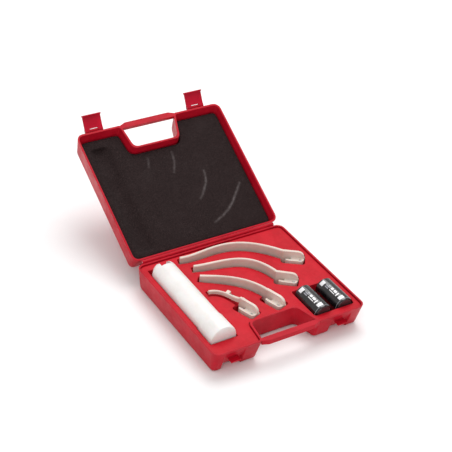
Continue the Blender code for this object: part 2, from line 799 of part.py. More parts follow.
def heel_nub():
    """Small rounded tab that stands out behind the heel's plate."""
    middle = BLADE_TOP - 12.5
    reach = HEEL_LENGTH + HEEL_NUB_REACH
    corners = [
        (HEEL_LENGTH - 2.0, middle - 5.0, 0),
        (reach, middle - 4.0, 1.2),
        (reach, middle + 3.0, 2.0),
        (HEEL_LENGTH - 2.0, middle + 5.0, 0),
    ]
    return upright(rounded(corners), 0.4, 1.9)


def heel_block():
    """Hook-on block on the blade's inner side, with the slot that takes the handle's bar."""
    corners = [
        (HEEL_SLOT_END, -0.8, 0),
        (HEEL_LENGTH - 0.4, -0.8, 0),
        (HEEL_LENGTH - 0.4, -HEEL_FRONT + 3.6, 1.5),
        (HEEL_LENGTH - 3.6, -HEEL_FRONT, 2.0),
        (HOOK_TIP + 5.0, -HEEL_FRONT, 2.5),
        (HOOK_TIP, -HEEL_SLOT_FAR - 2.6, 1.0),
        (HOOK_TIP, -HEEL_SLOT_FAR, 0.5),
        (HEEL_SLOT_END, -HEEL_SLOT_FAR, 1.2),
    ]
    return prism(rounded(corners[::-1]), HEEL_BLOCK_BOTTOM, HEEL_BLOCK_TOP)


def bulb_frame(blade):
    """Place and heading of the lamp on the blade's outer side, in the heel's frame."""
    centre = curve_point(blade, BULB_SHARE)
    normal = curve_normal(blade, BULB_SHARE)
    return centre + normal * (blade.thickness / 2 + BULB_BASE_RADIUS + 0.9), math.atan2(normal.y, normal.x)


def lamp_height(blade):
    """The lamp stands near the spatula's foot, and never above a low arm."""
    width = blade.width + (blade.tip_width - blade.width) * BULB_SHARE
    top = BLADE_TOP - blade_drop(blade, BULB_SHARE)
    return min(top - width + LAMP_RISE, top - LAMP_SUNK)


def make_blade(name, blade):
    """One hook-on blade with its lamp, contact and detent, in the frame of its heel."""
    heel = frame_at(name + "_heel", (*blade.heel, 0), (0, 0, math.radians(blade.heading)))
    body = object_from(name, make_spatula(blade), ivory_plastic(), heel)
    join(body, object_from(name + "_plate", heel_plate(blade), ivory_plastic(), heel))
    join(body, object_from(name + "_nub", heel_nub(), ivory_plastic(), heel))
    join(body, object_from(name + "_block", heel_block(), ivory_plastic(), heel))
    make_lamp(name, blade, body, heel)
    make_contact(name, body, heel)
    make_detent(name, body, heel)


def make_lamp(name, blade, body, heel):
    place, heading = bulb_frame(blade)
    lamp = frame_at(name + "_lamp_axis", (*place, lamp_height(blade)), (0, 0, heading))
    lamp.parent = heel
    reach = BULB_BASE_RADIUS + GAP + SOCKET_WALL
    socket = box((-BULB_BASE_RADIUS - 1.5, -2.6, -reach - 1.4), (reach, 2.6, reach))
    join(body, object_from(name + "_socket", socket, ivory_plastic(), lamp))
    bore = rod(BULB_BASE_RADIUS + GAP, -LAMP_CLEARANCE, SOCKET_REACH, 10)
    cut(body, object_from(name + "_socket_bore", bore, ivory_plastic(), lamp))
    half = BULB_BASE_LENGTH / 2
    base = rod(BULB_BASE_RADIUS, -half, half, 10)
    object_from(name + "_bulb_base", base, brass(), lamp)
    radius = BULB_GLASS_RADIUS
    start = half + 0.15
    dome = [(0, start), (radius * 0.9, start), (radius, start + 1.2), (radius * 0.7, start + 2.8)]
    dome.append((0, start + BULB_GLASS_LENGTH))
    glass = material("glass", (0.9, 0.92, 0.92), 0.05)
    bulb = turned(dome, 10)
    bmesh.ops.rotate(bulb, cent=(0, 0, 0), matrix=Matrix.Rotation(math.pi, 3, "Z"), verts=bulb.verts)
    object_from(name + "_bulb_glass", bulb, glass, lamp)


def make_contact(name, body, heel):
    """Insulating bush and stud in the heel's inner face, which meets the handle's plunger."""
    face = -HEEL_FRONT
    place = (STUD_X, 0, STUD_Z)
    pocket = rod(BUSH_RADIUS + GAP, face - CUT_PAST, face + BUSH_DEPTH + GAP, 14, place)
    cut(body, object_from(name + "_bush_pocket", pocket, ivory_plastic(), heel))
    inner = STUD_RADIUS + GAP
    low = face - BUSH_PROUD
    high = face + BUSH_DEPTH
    bush = turned([(inner, low), (BUSH_RADIUS, low), (BUSH_RADIUS, high), (inner, high)], 14, place)
    object_from(name + "_contact_bush", bush, white_plastic(), heel)
    stud = turned(
        [(0, face - STUD_PROUD), (0.8, face - STUD_PROUD), (STUD_RADIUS, face - STUD_PROUD + 0.5)]
        + [(STUD_RADIUS, high), (0, high)],
        10,
        place,
    )
    object_from(name + "_contact_stud", stud, brass(), heel)


def make_detent(name, body, heel):
    """Two balls pushed apart by a spring, in a hole through the heel, which click into the handle."""
    place = (BALL_X, BALL_Y, 0)
    hole = rod(BALL_HOLE_RADIUS, HEEL_BLOCK_BOTTOM - CUT_PAST, HEEL_BLOCK_TOP + CUT_PAST, 12, place, "Z")
    cut(body, object_from(name + "_detent_hole", hole, ivory_plastic(), heel))
    upper = HEEL_BLOCK_TOP - BALL_RADIUS + BALL_SUNK
    lower = HEEL_BLOCK_BOTTOM + BALL_RADIUS - BALL_SUNK
    for label, height in (("upper", upper), ("lower", lower)):
        ball = bmesh.new()
        bmesh.ops.create_uvsphere(ball, u_segments=10, v_segments=6, radius=BALL_RADIUS)
        bmesh.ops.translate(ball, vec=(BALL_X, BALL_Y, height), verts=ball.verts)
        object_from(f"{name}_ball_{label}", ball, steel(), heel)
    low = lower + BALL_RADIUS + GAP
    high = upper - BALL_RADIUS - GAP
    coil(name + "_detent_spring", 1.1, 0.22, low, high, 4, place, "Z", steel(), heel)


def handle_profile():
    """Outside of the handle's tube, from the seam to the end of the head."""
    shoulder = HANDLE_HEAD_Y - HANDLE_SHOULDER
    drop = HANDLE_RADIUS - HANDLE_NECK_RADIUS
    profile = [(HANDLE_RADIUS, HANDLE_SEAM_Y + SEAM_GAP)]
    steps = 5
    for i in range(steps + 1):
        angle = math.pi / 2 * i / steps
        profile.append((HANDLE_RADIUS - drop * (1 - math.cos(angle)), shoulder + 6 * math.sin(angle)))
    profile.append((HANDLE_NECK_RADIUS - 1.2, HANDLE_HEAD_Y))
    return profile


def make_handle():
    """Handle tube with its head, hook bar, contact plunger and conductor."""
    axis = frame_at("handle_axis", (HANDLE_X, 0, HANDLE_Z))
    outside = [(0, HANDLE_SEAM_Y + SEAM_GAP), *handle_profile(), (0, HANDLE_HEAD_Y)]
    body = object_from("handle_body", turned(outside, 32), white_plastic(), axis)
    mouth = HANDLE_SEAM_Y - CUT_PAST
    bore_end = HANDLE_SEAM_Y + CELL_BORE_LENGTH
    spigot_end = HANDLE_SEAM_Y + CAP_SPIGOT_LENGTH + 1.0
    bore = [
        (0, mouth),
        (SEAL_BORE_RADIUS, mouth),
        (SEAL_BORE_RADIUS, HANDLE_SEAM_Y + 2.6),
        (CAP_SPIGOT_RADIUS + GAP, HANDLE_SEAM_Y + 3.2),
        (CAP_SPIGOT_RADIUS + GAP, spigot_end),
        (CELL_BORE_RADIUS, spigot_end + 1.0),
        (CELL_BORE_RADIUS, bore_end),
        (0, bore_end + 3.0),
    ]
    cut(body, object_from("handle_bore", turned(bore, 28), white_plastic(), axis))
    floor = HANDLE_HEAD_Y - HEAD_SLOT_DEPTH
    half = HEAD_SLOT_WIDTH / 2
    slot = box((-half, floor, -HANDLE_RADIUS - CUT_PAST), (half, HANDLE_HEAD_Y + CUT_PAST, HANDLE_RADIUS + CUT_PAST))
    cut(body, object_from("handle_slot", slot, white_plastic(), axis))
    bar_y = HANDLE_HEAD_Y - HOOK_BAR_SETBACK
    bar_hole = rod(HOOK_BAR_RADIUS + GAP, -HANDLE_NECK_RADIUS - 2, HANDLE_NECK_RADIUS + 2, 12, (0, bar_y, 4.0), "X")
    cut(body, object_from("handle_bar_hole", bar_hole, white_plastic(), axis))
    bar = rod(HOOK_BAR_RADIUS, -11.6, 11.6, 12, (0, bar_y, 4.0), "X")
    object_from("hook_bar", bar, steel(), axis)
    make_saddle(axis, floor, half)
    make_plunger(axis, body, floor)
    make_conductor(axis, body)
    make_cap(axis)


def make_saddle(axis, floor, half):
    """Sheet-metal saddle that lines the head's slot, drilled for the bar and the plunger's bush."""
    width = 18.0
    outer = half - GAP
    inner = outer - SADDLE_SHEET
    top = HANDLE_HEAD_Y - 0.8
    low = floor + GAP
    outline = [(-outer, low), (outer, low), (outer, top), (inner, top), (inner, low + SADDLE_SHEET)]
    outline += [(-inner, low + SADDLE_SHEET), (-inner, top), (-outer, top)]
    saddle = object_from("hook_saddle", prism(outline, -width / 2, width / 2), steel(), axis)
    bar_y = HANDLE_HEAD_Y - HOOK_BAR_SETBACK
    drill = rod(HOOK_BAR_RADIUS + GAP, -half - 2, half + 2, 12, (0, bar_y, 4.0), "X")
    cut(saddle, object_from("hook_saddle_bar_hole", drill, steel(), axis))
    bush = rod(INSULATOR_RADIUS + GAP, low - 2, low + 4, 16)
    cut(saddle, object_from("hook_saddle_bush_hole", bush, steel(), axis))


def make_plunger(axis, body, floor):
    """Sprung contact that the blade's stud presses, in an insulating bush in the head's floor."""
    back = floor - INSULATOR_LENGTH
    pocket = rod(INSULATOR_RADIUS + GAP, back - 8, floor + CUT_PAST, 16)
    cut(body, object_from("handle_bush_pocket", pocket, white_plastic(), axis))
    inner = PLUNGER_RADIUS + GAP
    chamber = PLUNGER_RADIUS + 1.4
    front = floor + 1.6
    bush = [
        (inner, front),
        (INSULATOR_RADIUS, front),
        (INSULATOR_RADIUS, back),
        (chamber, back),
        (chamber, front - 2.4),
        (inner, front - 2.4),
    ]
    object_from("contact_bush", turned(bush, 16), material("nylon", (0.12, 0.12, 0.13), 0.5), axis)
    tip = front + PLUNGER_PROUD
    flange = front - 2.4 - GAP
    plunger = [
        (0, tip),
        (PLUNGER_RADIUS * 0.6, tip),
        (PLUNGER_RADIUS, tip - 0.7),
        (PLUNGER_RADIUS, flange),
        (chamber - GAP, flange),
        (chamber - GAP, flange - 1.2),
        (0, flange - 1.2),
    ]
    object_from("contact_plunger", turned(plunger, 14), brass(), axis)
    high = flange - 1.2 - GAP
    coil("plunger_spring", 2.2, 0.35, back + 0.2, high, 3, (0, 0, 0), "Y", steel(), axis)


def make_conductor(axis, body):
    """Brass strip in a groove along the bore, which joins the cap's contact to the head."""
    low = HANDLE_SEAM_Y + CAP_SPIGOT_LENGTH + 3
    high = HANDLE_SEAM_Y + CELL_BORE_LENGTH - 4
    groove = box((-2.8, low - 0.5, -CELL_BORE_RADIUS - 1.2), (2.8, high + 0.5, -CELL_BORE_RADIUS + 2.0))
    cut(body, object_from("handle_groove", groove, white_plastic(), axis))
    strip = box((-2.4, low, -CELL_BORE_RADIUS - 0.8), (2.4, high, -CELL_BORE_RADIUS - 0.2))
    object_from("conductor_strip", strip, brass(), axis)


def make_cap(axis):
    """Screw cap with its spigot, seal and battery spring."""
    seam = HANDLE_SEAM_Y
    end = HANDLE_END_Y
    spigot = seam + CAP_SPIGOT_LENGTH
    groove = 14.2
    profile = [
        (0, end),
        (CAP_RADIUS - CAP_EDGE, end),
        (CAP_RADIUS - CAP_EDGE * 0.3, end + CAP_EDGE * 0.3),
        (CAP_RADIUS, end + CAP_EDGE),
        (CAP_RADIUS - 0.4, seam),
        (groove, seam),
        (groove, seam + 2.2),
        (CAP_SPIGOT_RADIUS, seam + 2.2),
        (CAP_SPIGOT_RADIUS, spigot),
        (CAP_BORE_RADIUS, spigot),
        (CAP_BORE_RADIUS, end + CAP_END_WALL),
        (0, end + CAP_END_WALL),
    ]
    object_from("handle_cap", turned(profile, 32), white_plastic(), axis)
    seal_middle = groove + 0.75
    ring = [(seal_middle + 0.6 * math.cos(a), seam + 1.1 + 0.6 * math.sin(a)) for a in angles(6)]
    rubber = material("rubber", (0.03, 0.03, 0.03), 0.7)
    object_from("cap_seal", turned(ring[::-1], 24), rubber, axis)
    floor = end + CAP_END_WALL
    plate = rod(8.5, floor + 0.2, floor + 1.0, 20)
    object_from("cap_contact_plate", plate, brass(), axis)
    coil("battery_spring", 6.0, 0.5, floor + 1.2, floor + 19, 4, (0, 0, 0), "Y", steel(), axis)


def angles(count):
    return [math.tau * i / count for i in range(count)]


def make_cell(name, x):
    """C cell lying along Y with its negative end towards the grip."""
    axis = frame_at(name + "_axis", (x, CELL_NEAR_Y, CELL_Z))
    low = CELL_END_INSET
    high = CELL_LENGTH - NUB_HEIGHT
    rim = 1.2
    jacket = [
        (0, low + GAP),
        (CELL_RADIUS - rim - 0.2, low + GAP),
        (CELL_RADIUS - rim, low - 0.5),
        (CELL_RADIUS - 0.3, low - 0.8),
        (CELL_RADIUS, low),
        (CELL_RADIUS, high - 0.8),
        (CELL_RADIUS - 0.6, high - 0.1),
        (CELL_RADIUS - rim, high - 0.1),
        (CELL_RADIUS - rim - 0.2, high - 0.8),
        (0, high - 0.8),
    ]
    black = material("black_jacket", (0.02, 0.02, 0.02), 0.25)
    object_from(name + "_jacket", turned(jacket, 28), black, axis)
    top = high - 0.5
    nub = [(0, top), (CELL_RADIUS - rim - 0.7, top), (CELL_RADIUS - rim - 0.9, top + 0.4)]
    nub += [(NUB_RADIUS, top + 0.5), (NUB_RADIUS - 0.3, CELL_LENGTH), (0, CELL_LENGTH)]
    object_from(name + "_positive_cap", turned(nub, 20), steel(), axis)
    near = [(0, 0.25), (CELL_RADIUS - rim - 1.2, 0.25), (CELL_RADIUS - rim - 0.7, low), (0, low)]
    object_from(name + "_negative_plate", turned(near, 20), steel(), axis)


def make_tray():
    """Tray sheet with a thin-walled trough for each piece."""
    outline = case_outline(TRAY_EDGE_INSET, TRAY_EDGE_INSET)
    tray = object_from("tray", prism(outline, TRAY_TOP - TRAY_SHEET, TRAY_TOP), red_plastic())
    made = troughs()
    for name, hollow, outside in made:
        join(tray, object_from(f"trough_{name}_outside", outside, red_plastic()))
    for name, hollow, outside in made:
        cut(tray, object_from(f"trough_{name}_inside", hollow, red_plastic()))


def trough_pair(outline_of, floor):
    """The hollow of a trough, and the solid one wall thicker that surrounds it, up to the sheet."""
    inner = prism(outline_of(0.0), floor, TRAY_TOP + CUT_PAST)
    outer = prism(outline_of(TRAY_WALL), floor - TRAY_WALL, TRAY_TOP - TRAY_SHEET / 2)
    return inner, outer


def troughs():
    """(name, hollow, outside) of each trough."""
    made = [("handle", *handle_trough())]
    for name, blade in BLADES.items():
        made.append((name, *blade_trough(blade)))
        made.append((name + "_heel", *heel_trough(blade)))
    made.append(("cells", *trough_pair(cells_outline, CELL_TROUGH_FLOOR)))
    return made


def handle_trough():
    place = (HANDLE_X, 0, HANDLE_Z)
    low = HANDLE_END_Y - 1.6
    high = HANDLE_HEAD_Y + 4.5
    hollow = turned_trough(0.0, low, high, place)
    outside = turned_trough(TRAY_WALL, low - TRAY_WALL, high + TRAY_WALL, place)
    return hollow, outside


def turned_trough(extra, low, high, place):
    """Half-round trough, wider under the cap, cut off level with the sheet where it is an outside."""
    cap = CAP_RADIUS + TROUGH_GAP + extra
    tube = HANDLE_RADIUS + TROUGH_GAP + extra
    step = HANDLE_SEAM_Y + 2.0 + extra
    top = TRAY_TOP + CUT_PAST if not extra else TRAY_TOP - TRAY_SHEET / 2
    rings = []
    for radius, y in ((cap, low), (cap, step), (tube, step + 0.5), (tube, high)):
        dip = math.asin(max(0.0, place[2] - top) / radius)
        turn = [math.pi + dip + (math.pi - 2 * dip) * i / 14 for i in range(15)]
        arc = [(place[0] + radius * math.cos(a), y, place[2] + radius * math.sin(a)) for a in turn]
        if not dip:
            arc = [(place[0] - radius, y, top), *arc, (place[0] + radius, y, top)]
        rings.append(arc)
    return solid_loft(rings)


def blade_trough(blade):
    """Trough that follows the spatula from the heel to just past the tip."""
    shares = [i / TROUGH_STATIONS for i in range(TROUGH_STATIONS + 1)]
    front = blade.thickness / 2 + TROUGH_FRONT

    def outline(extra):
        outer = []
        inner = []
        for share in shares:
            centre = curve_point(blade, share)
            normal = curve_normal(blade, share)
            outer.append(centre + normal * (trough_back(blade, share) + extra))
            inner.append(centre - normal * (front + extra))
        past = (curve_point(blade, 1.0) - curve_point(blade, 0.97)).normalized() * (TROUGH_END + extra)
        outer[-1] = outer[-1] + past
        inner[-1] = inner[-1] + past
        return to_tray(blade, outer + inner[::-1])

    floor = min(BLADE_TROUGH_FLOOR, BLADE_TOP - blade.width - 2.0)
    if blade.width < HEEL_PLATE_HEIGHT / 1.5:
        floor = BLADE_TOP - ARM_DROP - blade.width - 3.0
    return trough_pair(outline, floor)


def trough_back(blade, share):
    """How far a blade's trough reaches behind the spatula: past its web, and past the lamp's socket."""
    reach = web_reach(blade, share)
    if abs(share - BULB_SHARE) < 0.13:
        reach = max(reach, blade.thickness / 2 + 2 * BULB_BASE_RADIUS + 0.9 + SOCKET_WALL)
    return reach + TROUGH_BACK


def heel_trough(blade):
    def outline(extra):
        low = -3.0 - extra
        high = HEEL_LENGTH + HEEL_NUB_REACH + 0.3 + extra
        front = -HEEL_FRONT - HEEL_TROUGH_FRONT - extra
        back = trough_back(blade, 0.0) + extra
        corners = [(low, front, 4.0), (high, front, 4.0), (high, back, 3.0), (low, back, 0.0)]
        return to_tray(blade, rounded(corners))

    return trough_pair(outline, BLADE_TROUGH_FLOOR)


def cells_outline(extra):
    low_x = CELL_LEFT_X - CELL_RADIUS - 1.2 - extra
    high_x = CELL_RIGHT_X + CELL_RADIUS + 1.2 + extra
    low_y = CELL_NEAR_Y - 1.0 - extra
    high_y = CELL_NEAR_Y + CELL_LENGTH + 4.0 + extra
    corners = [(low_x, low_y, 3.0), (high_x, low_y, 3.0), (high_x, high_y, 3.0), (low_x, high_y, 3.0)]
    return rounded(corners)


def main():
    clear_scene()
    make_base()
    make_tray()
    make_hinge_pin()
    hinge = frame_at("lid_hinge", (0, HINGE_AXIS_Y, HINGE_AXIS_Z), (math.radians(-HINGE_OPEN_DEG), 0, 0))
    make_lid(hinge)
    make_foam(hinge)
    make_latch("latch_left", -1, hinge)
    make_latch("latch_right", 1, hinge)
    make_handle()
    for name, blade in BLADES.items():
        make_blade(name, blade)
    make_cell("cell_left", CELL_LEFT_X)
    make_cell("cell_right", CELL_RIGHT_X)


main()
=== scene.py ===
"""Looks of the laryngoscope set in its open carry case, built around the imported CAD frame."""

import math

import bmesh
import bpy
from mathutils import Matrix, Vector, noise


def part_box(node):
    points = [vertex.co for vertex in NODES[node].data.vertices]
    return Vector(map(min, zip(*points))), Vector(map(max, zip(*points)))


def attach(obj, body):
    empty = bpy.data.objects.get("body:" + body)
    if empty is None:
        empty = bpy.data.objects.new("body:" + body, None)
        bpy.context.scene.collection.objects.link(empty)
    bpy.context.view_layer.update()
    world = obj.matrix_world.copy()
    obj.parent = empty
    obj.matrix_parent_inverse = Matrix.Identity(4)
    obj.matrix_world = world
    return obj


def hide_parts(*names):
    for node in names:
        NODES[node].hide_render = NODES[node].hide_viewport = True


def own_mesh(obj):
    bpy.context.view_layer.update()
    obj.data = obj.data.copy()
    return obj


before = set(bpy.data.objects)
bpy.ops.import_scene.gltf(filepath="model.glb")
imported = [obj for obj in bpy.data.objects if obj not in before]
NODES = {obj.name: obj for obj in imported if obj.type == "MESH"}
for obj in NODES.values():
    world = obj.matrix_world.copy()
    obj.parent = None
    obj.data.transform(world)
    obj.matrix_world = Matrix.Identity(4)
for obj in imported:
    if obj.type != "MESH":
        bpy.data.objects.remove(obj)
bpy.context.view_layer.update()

MM = 0.001

# Camera: bearing, height and roll in degrees, its place, and its lens on a square 36 mm sensor.
CAMERA_AZIMUTH = -34.9545
CAMERA_ELEVATION = 34.9632
CAMERA_ROLL = 5.6918
CAMERA_PLACE = (-0.77308, -1.03805, 1.02893)
CAMERA_LENS = 99.64
SENSOR = 36.0

CAMERA_REACH = 20.0

# Lights: name, place, the point it faces, width and power. The key is above and behind, the fill in front.
LIGHTS = (
    ("key", (0.5, 0.7, 1.9), (0, 0, 0.03), 1.5, 23.0),
    ("fill", (-1.3, -1.0, 1.3), (0, 0, 0.05), 1.4, 5.0),
)
SKY_COLOUR = (1.0, 1.0, 1.0, 1.0)
SKY_STRENGTH = 0.76
FLOOR_HALF_SIZE = 6.0
FLOOR_DROP = 0.0003

# Shading of the CAD nodes: how far apart split points are welded, and the sharpest edge shaded smooth.
WELD_DISTANCE = 2e-6
SMOOTH_LIMIT = math.radians(34)
GRAIN_SCALE = 2200.0
BEVEL_SAMPLES = 4

# Hinge of the lid, as the record's joint has it.
HINGE = Vector((0.0, 0.10365, 0.0347))
LID_OPEN = math.radians(151.5)


# ---------------------------------------------------------------- node helpers

class Tree:
    """A material's node tree, with short ways to add nodes and join them."""

    def __init__(self, name):
        self.material = bpy.data.materials.new(name)
        self.material.use_nodes = True
        self.tree = self.material.node_tree
        self.shader = self.tree.nodes["Principled BSDF"]

    def value(self, socket, given):
        if isinstance(given, bpy.types.NodeSocket):
            self.tree.links.new(given, socket)
        elif given is not None:
            socket.default_value = given

    def node(self, kind, inputs=(), **settings):
        made = self.tree.nodes.new(kind)
        for key, setting in settings.items():
            setattr(made, key, setting)
        for key, given in dict(inputs).items():
            self.value(made.inputs[key], given)
        return made

    def set(self, **inputs):
        for key, given in inputs.items():
            self.value(self.shader.inputs[key.replace("_", " ")], given)

    def place(self):
        return self.node("ShaderNodeTexCoord").outputs["Object"]

    def noise(self, scale, detail=3.0, roughness=0.5, vector=None):
        inputs = {"Vector": vector or self.place(), "Scale": scale, "Detail": detail, "Roughness": roughness}
        return self.node("ShaderNodeTexNoise", inputs).outputs["Fac"]

    def voronoi(self, scale, feature="F1", vector=None):
        inputs = {"Vector": vector or self.place(), "Scale": scale}
        return self.node("ShaderNodeTexVoronoi", inputs, feature=feature).outputs["Distance"]

    def math(self, operation, first, second, clamp=False):
        made = self.node("ShaderNodeMath", {0: first, 1: second}, operation=operation, use_clamp=clamp)
        return made.outputs[0]

    def span(self, value, low, high, out_low=0.0, out_high=1.0):
        """The value's smooth rise from low to high, as out_low to out_high."""
        inputs = {"Value": value, "From Min": low, "From Max": high, "To Min": out_low, "To Max": out_high}
        return self.node("ShaderNodeMapRange", inputs, interpolation_type="SMOOTHSTEP").outputs["Result"]

    def mix(self, share, first, second):
        made = self.node("ShaderNodeMix", {"Factor": share}, data_type="RGBA")
        for socket, given in ((made.inputs[6], first), (made.inputs[7], second)):
            self.value(socket, given if isinstance(given, bpy.types.NodeSocket) else (*given, 1.0))
        return made.outputs[2]

    def bump(self, height, strength, distance, normal=None):
        inputs = {"Height": height, "Strength": strength, "Distance": distance, "Normal": normal}
        return self.node("ShaderNodeBump", inputs).outputs["Normal"]

    def bevel(self, radius):
        return self.node("ShaderNodeBevel", {"Radius": radius}, samples=BEVEL_SAMPLES).outputs["Normal"]

    def edge(self, bevel):
        """0 on a flat face, rising on an edge: how far the bevelled normal leans from the plain one."""
        plain = self.node("ShaderNodeNewGeometry").outputs["Normal"]
        product = self.node("ShaderNodeVectorMath", {0: bevel, 1: plain}, operation="DOT_PRODUCT")
        return self.span(product.outputs["Value"], 0.999, 0.93)


def moulded(name, deep, pale, edge_highlight_colour, roughness, edge_radius, grain):
    """Moulded plastic: cloudy colour, fine grain, softened edges, and a painted highlight that makes the
    edges slightly paler.
    """
    tree = Tree(name)
    cloud = tree.span(tree.noise(28.0, 4.0, 0.6), 0.3, 0.7)
    flow = tree.span(tree.noise(160.0, 3.0, 0.6), 0.35, 0.7, 0.0, 0.35)
    base = tree.mix(tree.math("ADD", cloud, flow, True), deep, pale)
    bevel = tree.bevel(edge_radius)
    # Painted highlight: edges are mixed towards the paler edge colour, in patches set by noise.
    painted_edge_highlight = tree.math("MULTIPLY", tree.edge(bevel), tree.noise(420.0, 2.0), True)
    peel = tree.noise(GRAIN_SCALE * 0.18, 2.0)
    fine = tree.noise(GRAIN_SCALE, 2.0, 0.7)
    height = tree.math("ADD", tree.math("MULTIPLY", peel, 0.6), fine)
    tree.set(
        Base_Color=tree.mix(painted_edge_highlight, base, edge_highlight_colour),
        Roughness=tree.span(tree.noise(75.0, 4.0), 0.3, 0.75, roughness * 0.82, roughness * 1.2),
        Normal=tree.bump(height, grain, 0.0002, bevel),
    )
    return tree


# Each finish's colours: deep, pale, and the paler colour of the painted edge highlight.
def red_case():
    colours = ((0.40, 0.003, 0.014), (0.50, 0.006, 0.020), (0.66, 0.030, 0.050))
    tree = moulded("case_red", *colours, 0.40, 0.0009, 0.22)
    tree.set(Specular_IOR_Level=0.14)
    return tree.material


def red_tray():
    colours = ((0.46, 0.004, 0.013), (0.56, 0.008, 0.020), (0.68, 0.035, 0.05))
    tree = moulded("tray_red", *colours, 0.45, 0.0013, 0.16)
    tree.set(Specular_IOR_Level=0.14)
    return tree.material


def red_latch():
    colours = ((0.42, 0.002, 0.018), (0.50, 0.004, 0.024), (0.62, 0.03, 0.05))
    tree = moulded("latch_red", *colours, 0.38, 0.0005, 0.12)
    tree.set(Specular_IOR_Level=0.14)
    return tree.material


def white_plastic():
    colours = ((0.78, 0.75, 0.72), (0.85, 0.82, 0.80), (0.90, 0.88, 0.86))
    tree = moulded("handle_white", *colours, 0.34, 0.0006, 0.10)
    tree.set(Subsurface_Weight=0.08, Subsurface_Scale=0.003)
    return tree.material


def ivory_plastic():
    colours = ((0.66, 0.55, 0.48), (0.74, 0.63, 0.56), (0.90, 0.82, 0.76))
    tree = moulded("blade_ivory", *colours, 0.36, 0.0006, 0.16)
    tree.set(Subsurface_Weight=0.12, Subsurface_Scale=0.004)
    return tree.material


def foam_material():
    """Open-cell foam: dark pores with fine paler struts, and a dusty bloom."""
    tree = Tree("foam_charcoal")
    struts = tree.voronoi(950.0, "DISTANCE_TO_EDGE")
    coarse = tree.voronoi(420.0)
    pore = tree.span(struts, 0.02, 0.22)
    speck = tree.math("MULTIPLY", tree.span(tree.noise(900.0, 2.0, 0.7), 0.55, 0.75), 0.8)
    dust = tree.span(tree.noise(35.0, 5.0, 0.65), 0.45, 0.75, 0.0, 0.5)
    rub = tree.node("ShaderNodeAttribute", attribute_name="rub").outputs["Fac"]
    colour = tree.mix(pore, (0.034, 0.021, 0.021), (0.006, 0.003, 0.003))
    colour = tree.mix(tree.math("MULTIPLY", speck, 0.5), colour, (0.085, 0.062, 0.062))
    colour = tree.mix(tree.math("MULTIPLY", dust, 0.35), colour, (0.055, 0.04, 0.04))
    uneven = tree.span(tree.noise(300.0, 3.0, 0.7), 0.3, 0.7, 0.35, 1.0)
    marked = tree.math("MULTIPLY", rub, uneven)
    height = tree.math("ADD", tree.math("MULTIPLY", struts, -1.0), tree.math("MULTIPLY", coarse, 0.6))
    tree.set(
        Base_Color=tree.mix(tree.math("MULTIPLY", marked, 0.55), colour, (0.22, 0.19, 0.19)),
        Roughness=tree.span(speck, 0.0, 1.0, 0.96, 0.86),
        Normal=tree.bump(height, 0.9, 0.0008),
    )
    tree.set(Specular_IOR_Level=0.15)
    return tree.material


def metal(name, colour, shade, roughness):
    tree = Tree(name)
    stretched = tree.node("ShaderNodeMapping", {"Vector": tree.place(), "Scale": (1.0, 12.0, 1.0)})
    grain = tree.noise(900.0, 3.0, 0.6, stretched.outputs["Vector"])
    tarnish = tree.span(tree.noise(180.0, 4.0, 0.6), 0.4, 0.75)
    tree.set(
        Base_Color=tree.mix(tarnish, colour, shade),
        Roughness=tree.span(grain, 0.2, 0.8, roughness * 0.7, roughness * 1.4),
        Normal=tree.bump(grain, 0.12, 0.0001, tree.bevel(0.0002)),
    )
    tree.set(Metallic=1.0)
    return tree.material


def lamp_glass():
    tree = Tree("lamp_glass_clear")
    haze = tree.span(tree.noise(700.0, 3.0), 0.3, 0.8, 0.02, 0.16)
    tree.set(
        Base_Color=tree.mix(haze, (0.97, 0.97, 0.95), (0.85, 0.86, 0.84)),
        Roughness=haze,
        Normal=tree.bump(tree.noise(350.0, 2.0), 0.05, 0.0002),
    )
    tree.set(Transmission_Weight=0.85, IOR=1.47)
    return tree.material


def rubber():
    tree = Tree("seal_black")
    speck = tree.noise(1500.0, 3.0, 0.7)
    tree.set(
        Base_Color=tree.mix(tree.span(speck, 0.4, 0.7), (0.012, 0.012, 0.013), (0.03, 0.03, 0.032)),
        Roughness=tree.span(speck, 0.2, 0.8, 0.6, 0.8),
        Normal=tree.bump(speck, 0.2, 0.0002),
    )
    return tree.material


# Plain blocks printed on a cell: (start, end, low, high) as block() takes them, and their ink.
PRINTED_BLOCKS = (
    (((15.5, 21.5, -48, -16), (-20.5, -15.0, -34, 2)), (0.80, 0.80, 0.82)),
    (
        ((-11.5, -9.6, -34, -8), (-7.6, 3.4, -34, -29), (-7.6, -2.4, -22, -8), (-0.4, 3.4, -22, -8)),
        (0.86, 0.85, 0.86),
    ),
    (
        ((6.0, 12.5, -36, -30), (6.0, 12.5, -25, -20), (6.0, 9.0, -15, -8), (-21.9, -21.4, -180, 180)),
        (0.34, 0.34, 0.38),
    ),
)

# How softly a block ends, in metres along the cell and radians round it.
PRINT_SOFTNESS = 0.0003
PRINT_SOFTNESS_ANGLE = 0.02

# Where the metal ring at each end begins, in mm from the cell's middle: (no ring, full ring).
FAR_RING = (23.4, 23.7)
NEAR_RING = (-24.2, -24.5)


